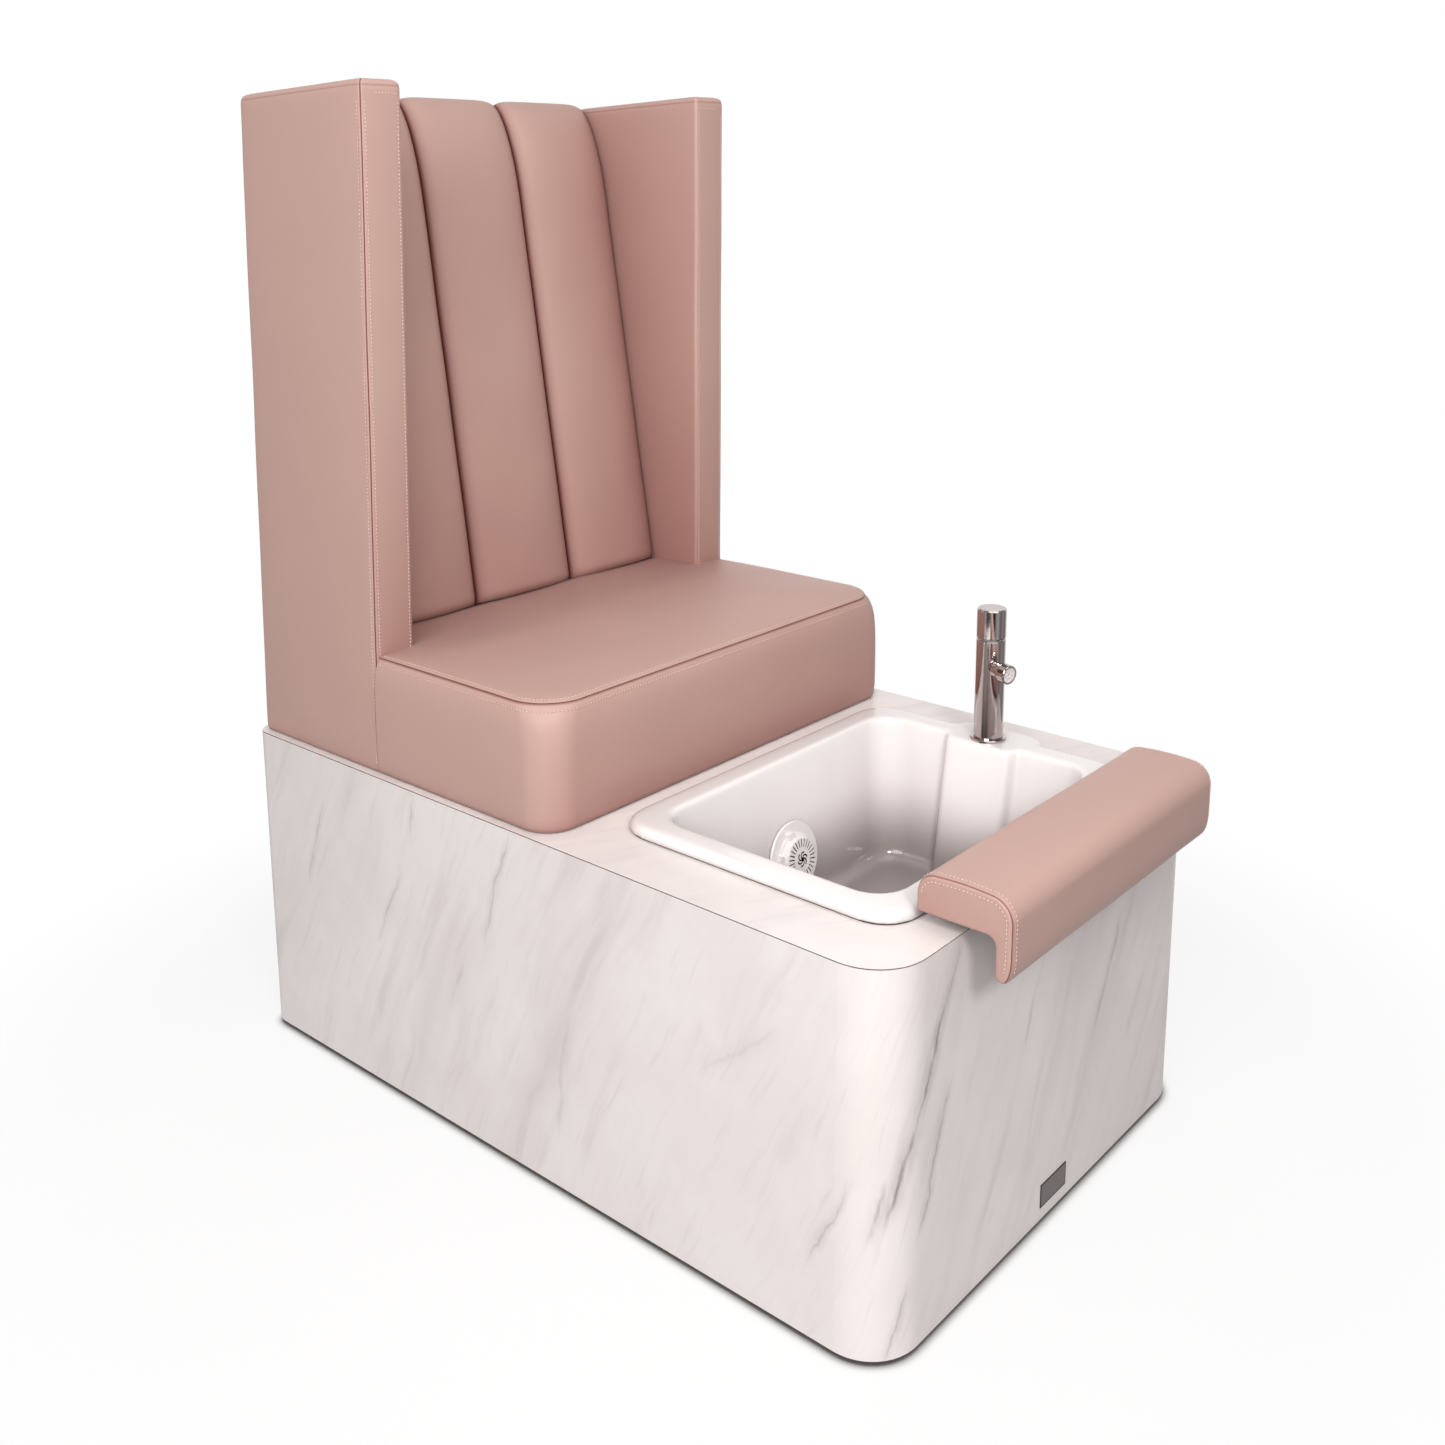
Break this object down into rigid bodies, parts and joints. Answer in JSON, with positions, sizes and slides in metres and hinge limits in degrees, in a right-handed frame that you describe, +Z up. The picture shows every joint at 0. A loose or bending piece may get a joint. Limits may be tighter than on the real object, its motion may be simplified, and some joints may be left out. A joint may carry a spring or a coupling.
{
  "type": "pedicure spa chair",
  "caption": "Pedicure chair with a padded seat, side wings and a channelled back on a laminated plinth with a foot basin, water jet, mixer tap and padded footrest.",
  "frame": {"origin": "centre of the bounding box's base, on the floor", "axes": "+Z up, -Y towards the client's feet, +X to the right as seen from the foot basin's end"},
  "size_m": [0.7, 1.142, 1.322],
  "materials": {
    "panel_core": "raw particle board",
    "marble_laminate": "white marble laminate with soft grey veins, satin gloss",
    "rear_board": "plain light grey melamine",
    "zinc_steel": "zinc plated",
    "black_plastic": "moulded, fine texture",
    "badge_metal": "satin brushed, left blank",
    "plywood": "raw plywood",
    "rose_leather": "smooth coated leather with a fine grain, satin",
    "white_ceramic": "glossy white glaze",
    "dark_rubber": "matte seal",
    "chrome": "polished chrome",
    "white_plastic": "moulded",
    "jet_plastic": "moulded, satin gloss",
    "copper_winding": "varnished winding",
    "brass": "machined",
    "braided_steel": "braided sleeve",
    "black_lining": "black non-woven lining over a board"
  },
  "bodies": {
    "plinth": {"base_board": "panel_core", "side_panels": "panel_core", "front_panel": "panel_core", "front_corners": "panel_core", "rear_stiles": "panel_core", "rear_battens": "panel_core", "seat_bulkhead": "panel_core", "deck_core": "panel_core", "deck_laminate": "marble_laminate", "laminate_wrap": "marble_laminate", "rear_panel": "rear_board", "rear_panel_screws": "zinc_steel", "levelling_feet": "black_plastic", "badge_plate": "badge_metal", "seat_board": "plywood", "seat_cushion": "rose_leather", "wing_board_left": "plywood", "wing_board_right": "plywood", "wing_pad_left": "rose_leather", "wing_pad_right": "rose_leather", "back_board": "plywood", "back_cushion": "rose_leather", "outside_back": "rose_leather", "upholstery_bolts": "zinc_steel", "basin": "white_ceramic", "basin_seal": "dark_rubber", "waste_body": "chrome", "waste_nut": "zinc_steel", "trap": "white_plastic", "waste_pipe": "white_plastic", "jet_body": "jet_plastic", "jet_gasket": "dark_rubber", "jet_nut": "white_plastic", "jet_shaft": "zinc_steel", "motor_case": "black_plastic", "motor_stator": "copper_winding", "tap_base_ring": "chrome", "tap_body": "chrome", "tap_nut": "zinc_steel", "cartridge_body": "white_plastic", "nozzle_stud": "chrome", "hot_hose": "braided_steel", "cold_hose": "braided_steel", "inlet_fittings": "brass", "control_box": "white_plastic", "cable_gland": "black_plastic", "peg_sockets": "black_plastic"},
    "footrest": {"footrest_board": "black_lining", "footrest_cushion": "rose_leather", "footrest_pegs": "zinc_steel"},
    "handle": {"tap_handle": "chrome", "cartridge_spindle": "brass", "handle_screw": "zinc_steel"},
    "nozzle": {"nozzle_shell": "chrome", "aerator_insert": "jet_plastic"},
    "plug": {"waste_plug": "chrome"},
    "cover": {"jet_cover": "jet_plastic"},
    "impeller": {"jet_impeller": "white_plastic"},
    "rotor": {"motor_rotor": "zinc_steel"}
  },
  "joints": [
    {"name": "footrest_lift", "type": "slide", "parent": "plinth", "child": "footrest", "axis": [0, 0, 1], "range_m": [0, 0.06]},
    {"name": "handle_turn", "type": "hinge", "parent": "plinth", "child": "handle", "pos_m": [0.246, -0.254, 0.62], "axis": [0, 0, 1], "range_deg": [0, 100]},
    {"name": "nozzle_swivel", "type": "hinge", "parent": "plinth", "child": "nozzle", "pos_m": [0.22337, -0.27663, 0.568], "axis": [0, 0, 1], "range_deg": [-56, 0]},
    {"name": "plug_lift", "type": "slide", "parent": "plinth", "child": "plug", "axis": [0, 0, 1], "range_m": [0, 0.008]},
    {"name": "cover_twist", "type": "hinge", "parent": "plinth", "child": "cover", "pos_m": [0, -0.11127, 0.333], "axis": [0, -0.9877, 0.1564], "range_deg": [0, 30]},
    {"name": "rotor_spin", "type": "hinge", "parent": "plinth", "child": "rotor", "pos_m": [0, -0.11127, 0.333], "axis": [0, -0.9877, 0.1564], "continuous": true},
    {"name": "impeller_spin", "type": "hinge", "parent": "plinth", "child": "impeller", "pos_m": [0, -0.11127, 0.333], "axis": [0, -0.9877, 0.1564], "continuous": true}
  ],
  "couplings": [
    {"joint": "impeller_spin", "follows": "rotor_spin", "ratio": 1}
  ]
}
